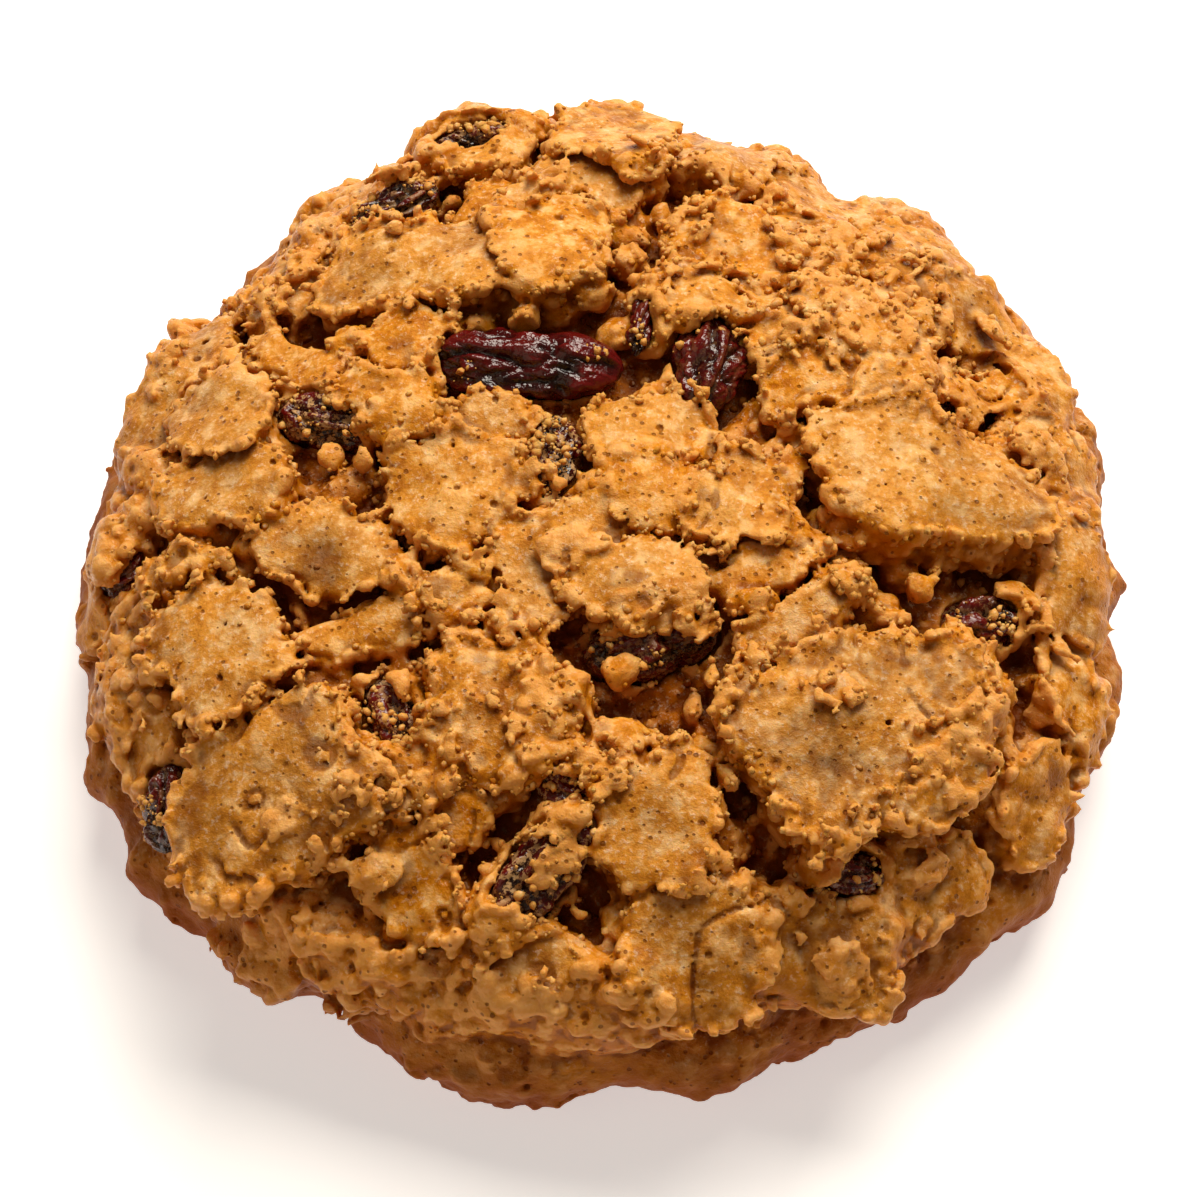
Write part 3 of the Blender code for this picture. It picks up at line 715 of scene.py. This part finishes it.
def crumb_beads(thing):
    """Beads of crumb half sunk in broken edges and torn dough, which the grid is too coarse to show."""
    mesh = thing.data
    count = len(mesh.vertices)
    points = np.empty(count * 3, np.float32)
    normals = np.empty(count * 3, np.float32)
    mesh.vertices.foreach_get("co", points)
    mesh.vertex_normals.foreach_get("vector", normals)
    points = points.reshape(-1, 3) / MM - np.array([*DOME_AXIS, 0.0])
    normals = normals.reshape(-1, 3)
    marks = {}
    for mark in MARKS:
        marks[mark] = np.empty(count, np.float32)
        mesh.attributes[mark].data.foreach_get("value", marks[mark])
    weight = 0.02 + 0.7 * marks["torn"] ** 2 + 1.4 * marks["edge"] ** 2
    weight *= smooth_step(6.0, 10.0, points[:, 2]) * (marks["broad"] > -0.9)
    weight *= smooth_step(0.90, 0.76, np.hypot(points[:, 0] / HALF_WIDTH, points[:, 1] / HALF_DEPTH))
    rng = np.random.default_rng(SEED + 80)
    chosen = rng.choice(count, BEADS, replace=False, p=weight / weight.sum())
    low, high = BEAD_RADIUS
    sizes = low + (high - low) * rng.random(BEADS) ** 1.6
    balls, triangles, corners = rounded_beads(points[chosen], normals[chosen] * 0.5, sizes, 81)
    spread_marks = {mark: np.repeat(values[chosen], corners) for mark, values in marks.items()}
    spread_marks["fine"] = spread_marks["fine"] + 0.05      # beads get a little more of the painted ridge highlight than the dough
    return fill_mesh("crumb_beads", balls, triangles, spread_marks)


def smoothed(field, cells_wide):
    """Field averaged over a box some cells wide."""
    for axis in range(3):
        total = np.cumsum(np.pad(field, [(cells_wide + 1, cells_wide) if a == axis else (0, 0)
                                         for a in range(3)], mode="edge"), axis=axis, dtype=np.float64)
        upper = np.take(total, range(2 * cells_wide + 1, total.shape[axis]), axis=axis)
        lower = np.take(total, range(0, total.shape[axis] - 2 * cells_wide - 1), axis=axis)
        field = ((upper - lower) / (2 * cells_wide + 1)).astype(np.float32)
    return field


def sampled(field, places):
    """Values of a grid field at places given in grid steps."""
    base = np.clip(np.floor(places).astype(np.int32), 0, np.array(field.shape) - 2)
    share = (places - base).astype(np.float32)
    total = np.zeros(len(places), np.float32)
    for corner in np.ndindex(2, 2, 2):
        weight = np.ones(len(places), np.float32)
        for axis, side in enumerate(corner):
            weight *= share[:, axis] if side else 1.0 - share[:, axis]
        i, j, k = (base + np.array(corner)).T
        total += weight * field[i, j, k]
    return total


def largest_part(points, quads):
    """The part of a mesh with most points, without scraps and closed hollows."""
    label = np.arange(len(points))
    starts, ends = quads.ravel(), np.roll(quads, 1, axis=1).ravel()
    while True:
        lowest = np.minimum(label[starts], label[ends])
        following = label.copy()
        np.minimum.at(following, starts, lowest)
        np.minimum.at(following, ends, lowest)
        following = following[following]
        if (following == label).all():
            break
        label = following
    kept = label == np.bincount(label).argmax()
    place = np.cumsum(kept) - 1
    return points[kept], place[quads[kept[quads[:, 0]]]]


def fill_mesh(name, points, polygons, marks):
    """Mesh object in metres from points in mm, with a number at each point for each mark."""
    mesh = bpy.data.meshes.new(name)
    mesh.from_pydata([], [], [])
    mesh.vertices.add(len(points))
    moved = (points + np.array([*DOME_AXIS, 0.0])) * MM
    mesh.vertices.foreach_set("co", moved.astype(np.float32).ravel())
    count = polygons.shape[1]
    mesh.loops.add(polygons.size)
    mesh.loops.foreach_set("vertex_index", polygons.astype(np.int32).ravel())
    mesh.polygons.add(len(polygons))
    mesh.polygons.foreach_set("loop_start", np.arange(0, polygons.size, count, dtype=np.int32))
    mesh.update(calc_edges=True)
    mesh.validate()
    for mark, values in marks.items():
        layer = mesh.attributes.new(mark, "FLOAT", "POINT")
        layer.data.foreach_set("value", np.asarray(values, np.float32))
    mesh.shade_smooth()
    thing = bpy.data.objects.new(name, mesh)
    bpy.context.scene.collection.objects.link(thing)
    return thing


def make_dough():
    """The whole dough as one mesh with its marks."""
    dough = Dough(GRID_STEP)
    add_core(dough)
    for index, row in enumerate(PLATES):
        add_plate(dough, index, row)
    add_wall_lumps(dough)
    add_crumb_lumps(dough)
    add_clots(dough)
    add_oat_flakes(dough)
    open_pockets(dough)
    roughen(dough)
    clear_fruit(dough)
    dough.distance = np.maximum(dough.distance, -dough.axes[2][None, None, :])
    grid = openvdb.FloatGrid()
    grid.background = FAR
    grid.copyFromArray(dough.distance)
    points, quads = largest_part(*grid.convertToQuads(0.0))
    low = np.array([axis[0] for axis in dough.axes], np.float32)
    broad = smoothed(dough.distance, int(round(1.6 / dough.step)))
    fine = smoothed(dough.distance, max(1, int(round(0.45 / dough.step))))
    marks = {
        "depth": sampled(dough.depth, points),
        "broad": sampled(broad, points),
        "fine": sampled(fine, points),
        "oat": smooth_step(0.45, 0.0, sampled(dough.oats, points)),
        "torn": sampled(dough.torn, points),
        "golden": sampled(dough.golden, points),
        "edge": sampled(dough.edge, points),
    }
    thing = fill_mesh("oat_dough_baked", low + points * dough.step, quads[:, ::-1], marks)
    return [thing, crumb_beads(thing), crumb_on_fruit()]


def creased(spot):
    """Round folds from 1 down to sharp creases near 0, with finer ones on the coarse."""
    spot = spot + noise.noise_vector(spot * 0.9) * 0.55
    total = 0.0
    for octave, share in ((1.0, 0.55), (2.2, 0.3), (4.7, 0.15)):
        total += share * min(1.0, abs(noise.noise(spot * octave)) * 3.2) ** 0.7
    return total


def make_cranberry(row, number):
    """One dried cranberry: the part's folded hull with deep wrinkles, mostly along it."""
    name, x, y, half_long, half_wide, turn, depth, _cover, _side, sugar = row
    rings, segments = ((66, 90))
    rng = random.Random(SEED + 300 + number)
    polar = np.linspace(0, math.pi, rings + 1)[1:-1]
    around = np.linspace(0, math.tau, segments, endpoint=False)
    polar, around = (part.ravel() for part in np.meshgrid(polar, around, indexing="ij"))
    along = np.concatenate([-np.cos(polar), [-1.0, 1.0]])
    around = np.concatenate([around, [0.0, 0.0]])
    ring = np.concatenate([np.sin(polar), [0.0, 0.0]])
    girth = fruit_girth(name, along, around) * half_wide
    shift = Vector([rng.uniform(-50, 50) for _ in range(3)])
    across = 1.0 / FOLD_WIDTH
    folds = np.array([creased(Vector((u * half_long * across * FOLD_SQUEEZE, v * half_wide * across,
                                      w * half_wide * across)) + shift)
                      for u, v, w in zip(along, ring * np.cos(around), ring * np.sin(around))])
    dent = FOLD_DEPTH * (1.0 - folds) * np.minimum(1.0, ring * 1.5)
    body = np.maximum(girth - dent, 0.25 * girth)
    local = np.stack([along * (half_long - 0.6 * dent), ring * np.cos(around) * body,
                      ring * np.sin(around) * body * 0.92], axis=1)
    place = np.array(seat(x, y, turn, -depth))
    points = local @ place[:3, :3].T + place[:3, 3]
    index = np.arange((rings - 1) * segments).reshape(rings - 1, segments)
    following = np.roll(index, -1, axis=1)
    quads = np.stack([index[:-1], following[:-1], following[1:], index[1:]], axis=-1).reshape(-1, 4)
    ends = len(along) - 2
    first = np.stack([np.full(segments, ends), following[0], index[0]], axis=1)
    last = np.stack([np.full(segments, ends + 1), index[-1], following[-1]], axis=1)
    triangles = np.concatenate([quads[:, [0, 1, 2]], quads[:, [0, 2, 3]], first, last])
    marks = {"crease": 1.0 - folds, "sugar": np.full(len(points), sugar)}
    return fill_mesh(name + "_dried", points, triangles, marks)


def linear(colour):
    """Linear red, green, blue and alpha of an sRGB hex colour."""
    parts = [int(colour[place:place + 2], 16) / 255 for place in (1, 3, 5)]
    parts = [part / 12.92 if part <= 0.04045 else ((part + 0.055) / 1.055) ** 2.4 for part in parts]
    return parts + [1.0]


def node(tree, kind, links=None, **settings):
    """Add a shader node with its settings (fields or input values) and its inputs' sources."""
    made = tree.nodes.new(kind)
    for name, value in settings.items():
        if hasattr(made, name):
            setattr(made, name, value)
        else:
            made.inputs[name.replace("_", " ")].default_value = value
    for name, source in (links or {}).items():
        tree.links.new(source, made.inputs[name])
    return made


def new_material(name):
    """Empty node material and its surface shader."""
    material = bpy.data.materials.new(name)
    material.use_nodes = True
    return material, material.node_tree, material.node_tree.nodes["Principled BSDF"]


def blend_colours(tree, share, first, second):
    """Mix of two colours, each a hex colour or another node's output."""
    mix = tree.nodes.new("ShaderNodeMix")
    mix.data_type = "RGBA"
    if isinstance(share, (int, float)):
        mix.inputs[0].default_value = share
    else:
        tree.links.new(share, mix.inputs[0])
    for socket, colour in ((mix.inputs[6], first), (mix.inputs[7], second)):
        if isinstance(colour, str):
            socket.default_value = linear(colour)
        else:
            tree.links.new(colour, socket)
    return mix.outputs[2]


def spread(tree, value, low, high, to_low=0.0, to_high=1.0):
    """Value moved softly from one range to another."""
    made = node(tree, "ShaderNodeMapRange", {"Value": value}, interpolation_type="SMOOTHSTEP")
    ends = {"From Min": low, "From Max": high, "To Min": to_low, "To Max": to_high}
    for name, number in ends.items():
        made.inputs[name].default_value = number
    return made.outputs["Result"]


def noise_at(tree, where, size_mm, detail=3.0, rough=0.55):
    """Noise whose blobs are size_mm across."""
    made = node(tree, "ShaderNodeTexNoise", {"Vector": where}, Scale=1.0 / (size_mm * MM),
                Detail=detail, Roughness=rough)
    return made.outputs["Fac"]


def sums(tree, kind, first, second):
    """Two values joined by a sum, product or the like."""
    made = node(tree, "ShaderNodeMath", operation=kind)
    for socket, value in zip(made.inputs, (first, second)):
        if isinstance(value, (int, float)):
            socket.default_value = value
        else:
            tree.links.new(value, socket)
    return made.outputs[0]


def baked_oat_dough():
    """Baked oat dough: butter and brown sugar crust, dry and sandy on the large plates, syrupy
    and golden on small lumps, with moist brown crumb in the cracks. The eye gets a grainy skin
    with a faint sugary glint and tiny dark pinholes. Light and shade are partly painted into the
    colour: paler up-facing skin, grain and ridges, darker steep sides, hollows, pits, pinholes,
    cracks and wall."""
    material, tree, surface = new_material("baked_oat_dough")
    where = node(tree, "ShaderNodeTexCoord").outputs["Object"]
    mark = {name: node(tree, "ShaderNodeAttribute", attribute_name=name).outputs["Fac"]
            for name in MARKS}
    height = node(tree, "ShaderNodeSeparateXYZ", {0: where}).outputs["Z"]
    facing = node(tree, "ShaderNodeNewGeometry").outputs["Normal"]
    upward = node(tree, "ShaderNodeSeparateXYZ", {0: facing}).outputs["Z"]

    patches = noise_at(tree, where, PATCH_SIZE, 2.0)
    blotches = noise_at(tree, where, BLOTCH_SIZE, 3.0, 0.65)
    grain = noise_at(tree, where, GRAIN_SIZE, 3.0, 0.7)
    sandy = blend_colours(tree, spread(tree, patches, 0.36, 0.60), SANDY_SHADE, SANDY)
    # Skin that faces up is paler: a painted highlight from the light above
    sandy = blend_colours(tree, spread(tree, upward, 0.60, 0.98, 0.0, 0.35), sandy, SANDY_PAINTED_HIGHLIGHT)
    golden = blend_colours(tree, spread(tree, blotches, 0.35, 0.65), SYRUPY_SHADE, SYRUPY)
    crust = blend_colours(tree, spread(tree, mark["golden"], 0.15, 0.75), sandy, golden)
    crust = blend_colours(tree, sums(tree, "MULTIPLY", mark["oat"], 0.5), crust, OAT)
    crust = blend_colours(tree, sums(tree, "MULTIPLY", mark["edge"], 0.4), crust, BROKEN_EDGE)
    crust = blend_colours(tree, spread(tree, blotches, 0.47, 0.30, 0.0, 0.5), crust, BROWNED_BLOTCH)
    crust = blend_colours(tree, spread(tree, grain, 0.50, 0.34, 0.0, 0.30), crust, BROWNED_GRAIN)
    # Steep sides are darker: painted shade where the light from above falls less
    crust = blend_colours(tree, spread(tree, upward, 0.55, 0.05, 0.0, 0.6), crust, STEEP_SIDE_PAINTED_SHADE)
    crumb = blend_colours(tree, spread(tree, blotches, 0.35, 0.65), MOIST_CRUMB, CRUMB)
    colour = blend_colours(tree, spread(tree, mark["torn"], 0.3, 0.9, 0.0, 0.45), crust, TORN_DOUGH)
    # Crumb shows in the cracks and darkens with depth there: partly the crumb's own colour, partly
    # painted shade
    colour = blend_colours(tree, spread(tree, mark["depth"], 1.0, 3.0), colour, crumb)

    # Flour and sugar lie pale on what faces up, and not on the sides of lumps; this paleness is also a
    # painted highlight where the light from above falls
    dusted_and_lit = spread(tree, upward, 0.45, 0.95)
    pale = sums(tree, "MULTIPLY", spread(tree, blotches, 0.46, 0.68, 0.0, 0.7), dusted_and_lit)
    colour = blend_colours(tree, sums(tree, "MULTIPLY", pale, spread(tree, mark["depth"], 2.5, 0.8)),
                           colour, FLOUR_BLOTCH_AND_HIGHLIGHT)
    pale = sums(tree, "MULTIPLY", spread(tree, grain, 0.53, 0.70, 0.0, 0.5), dusted_and_lit)
    colour = blend_colours(tree, pale, colour, SUGAR_GRAIN_AND_GLINT)
    colour = blend_colours(tree, spread(tree, mark["broad"], 0.15, 0.55, 0.0, 0.25), colour, BROAD_CREST)
    # Hollows are darkened: painted shade
    colour = blend_colours(tree, spread(tree, mark["broad"], 0.0, -0.8, 0.0, 0.9), colour, PAINTED_HOLLOW_SHADE)
    # Fine ridges are paler and fine pits darker: painted highlight and painted shade
    colour = blend_colours(tree, spread(tree, mark["fine"], 0.02, 0.14, 0.0, 0.45), colour, PAINTED_RIDGE_HIGHLIGHT)
    colour = blend_colours(tree, spread(tree, mark["fine"], -0.02, -0.12, 0.0, 0.55), colour, PAINTED_PIT_SHADE)
    # The wall darkens towards the tray: partly its browner bake, partly painted shade
    wall = sums(tree, "ADD", height, sums(tree, "MULTIPLY", patches, 4.0 * MM))
    wall = spread(tree, wall, 13.5 * MM, 5.0 * MM)
    colour = blend_colours(tree, sums(tree, "MULTIPLY", wall, 0.92), colour, BAKED_AND_SHADED_WALL)

    # Pinholes where steam left the crust, about 0.25 mm wide, their dark colour painted shade in the
    # holes
    pin = node(tree, "ShaderNodeTexVoronoi", {"Vector": where}, Scale=1.0 / (PINHOLE_SPACING * MM))
    away = sums(tree, "ADD", pin.outputs["Distance"], sums(tree, "MULTIPLY", blotches, 0.5))
    hole = spread(tree, away, 0.45, 0.35)
    colour = blend_colours(tree, sums(tree, "MULTIPLY", hole, 0.65), colour, PINHOLE_SHADE)
    tree.links.new(colour, surface.inputs["Base Color"])

    # Sugar and flour grain, with the pinholes sunk in it
    relief = sums(tree, "SUBTRACT", grain, sums(tree, "MULTIPLY", hole, 0.9))
    bump = node(tree, "ShaderNodeBump", {"Height": relief}, Strength=0.8, Distance=0.0002)
    tree.links.new(bump.outputs["Normal"], surface.inputs["Normal"])
    gloss = spread(tree, mark["torn"], 0.2, 0.9, 0.32, 0.24)
    gloss = sums(tree, "ADD", gloss, sums(tree, "MULTIPLY", wall, 0.35))
    tree.links.new(gloss, surface.inputs["Roughness"])
    surface.inputs["IOR"].default_value = 1.45
    surface.inputs["Specular IOR Level"].default_value = 0.18
    surface.inputs["Specular Tint"].default_value = linear("#FFD0A0")
    surface.inputs["Subsurface Weight"].default_value = 0.30
    surface.inputs["Subsurface Radius"].default_value = (1.0, 0.45, 0.10)
    surface.inputs["Subsurface Scale"].default_value = 0.0010
    return material


def dried_cranberry():
    """Sweetened dried cranberry: wrinkled fruit skin in sugar syrup. The eye gets a nearly black
    red with wet, narrow highlights on each fold, and pale sugar where dough has rubbed off."""
    material, tree, surface = new_material("dried_cranberry")
    where = node(tree, "ShaderNodeTexCoord").outputs["Object"]
    crease = node(tree, "ShaderNodeAttribute", attribute_name="crease").outputs["Fac"]
    sugar = node(tree, "ShaderNodeAttribute", attribute_name="sugar").outputs["Fac"]
    tone = noise_at(tree, where, FRUIT_TONE_SIZE, 2.0)
    skin = blend_colours(tree, spread(tree, tone, 0.35, 0.65), FRUIT_DARK, FRUIT_SKIN)
    # Fold ridges are redder and creases nearly black: painted light and painted shade
    skin = blend_colours(tree, spread(tree, crease, 0.40, 0.10, 0.0, 0.6), skin, FRUIT_RIDGE_PAINTED_LIGHT)
    skin = blend_colours(tree, spread(tree, crease, 0.45, 0.80), skin, FRUIT_CREASE_PAINTED_SHADE)
    film = noise_at(tree, where, FILM_SIZE, 4.0, 0.7)
    film = sums(tree, "MULTIPLY", spread(tree, film, 0.49, 0.57), sugar)
    skin = blend_colours(tree, film, skin, SUGAR_FILM)
    tree.links.new(skin, surface.inputs["Base Color"])
    tooth = noise_at(tree, where, GRAIN_SIZE, 2.0)
    bump = node(tree, "ShaderNodeBump", {"Height": tooth}, Strength=0.5, Distance=0.0003)
    tree.links.new(bump.outputs["Normal"], surface.inputs["Normal"])
    tree.links.new(spread(tree, film, 0.0, 0.6, 0.16, 0.7), surface.inputs["Roughness"])
    surface.inputs["IOR"].default_value = 1.48
    surface.inputs["Specular IOR Level"].default_value = 0.6
    return material


def studio_floor():
    """Matte white table top, far wider than the photograph's view. A faint glow keeps it white."""
    material, tree, surface = new_material("white_table")
    surface.inputs["Base Color"].default_value = linear("#F4F3F1")
    surface.inputs["Roughness"].default_value = 0.8
    surface.inputs["Emission Color"].default_value = linear("#FFFFFF")
    surface.inputs["Emission Strength"].default_value = 0.50
    bpy.ops.mesh.primitive_plane_add(size=6.0, location=(0, 0, -0.0002))
    floor = bpy.context.object
    floor.name = "white_table"
    floor.data.materials.append(material)


def area_light(name, place, target, size, power, colour):
    """Soft square light aimed at a point, in metres and watts."""
    lamp = bpy.data.lights.new(name, "AREA")
    lamp.energy = power
    lamp.size = size
    lamp.color = linear(colour)[:3]
    thing = bpy.data.objects.new(name, lamp)
    thing.location = place
    thing.rotation_euler = (Vector(target) - Vector(place)).to_track_quat("-Z", "Y").to_euler()
    bpy.context.scene.collection.objects.link(thing)


def add_camera():
    """Camera at the photograph's angle."""
    lens = bpy.data.cameras.new("photo_camera")
    lens.lens = PHOTO_LENS
    lens.sensor_width = PHOTO_SENSOR
    lens.clip_start = 0.01
    camera = bpy.data.objects.new("photo_camera", lens)
    rise = math.radians(PHOTO_ELEVATION)
    back = Vector((0.0, -math.cos(rise), math.sin(rise)))
    camera.location = (Vector(PHOTO_TARGET) + Vector((*DOME_AXIS, 0)) + back * PHOTO_DISTANCE) * MM
    camera.rotation_euler = (math.pi / 2 - rise, 0.0, 0.0)
    bpy.context.scene.collection.objects.link(camera)
    bpy.context.scene.camera = camera


def add_light():
    """Big soft light from behind and above, a faint fill from the near side, and a dim warm room."""
    middle = (0, 0, 0.01)
    area_light("window", (0.11, 0.39, 0.50), middle, size=0.42, power=5.8, colour="#FFF7EA")
    area_light("fill", (-0.35, -0.35, 0.55), middle, size=0.6, power=0.55, colour="#FFE2C4")
    world = bpy.data.worlds.new("warm_room")
    bpy.context.scene.world = world
    world.use_nodes = True
    room = world.node_tree.nodes["Background"]
    room.inputs["Color"].default_value = linear("#FFE0B8")
    room.inputs["Strength"].default_value = 0.10
    bpy.context.scene.view_settings.view_transform = "Standard"


def main():
    add_camera()
    add_light()
    studio_floor()
    crust = baked_oat_dough()
    for piece in make_dough():
        piece.data.materials.append(crust)
        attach(piece, "root")
        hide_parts("oat_dough")
    skin = dried_cranberry()
    noise.seed_set(SEED)    # else the fruit's wrinkles would differ from run to run
    for number, row in enumerate(CRANBERRIES):
        berry = make_cranberry(row, number)
        berry.data.materials.append(skin)
        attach(berry, "root")
        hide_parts(row[0])


main()
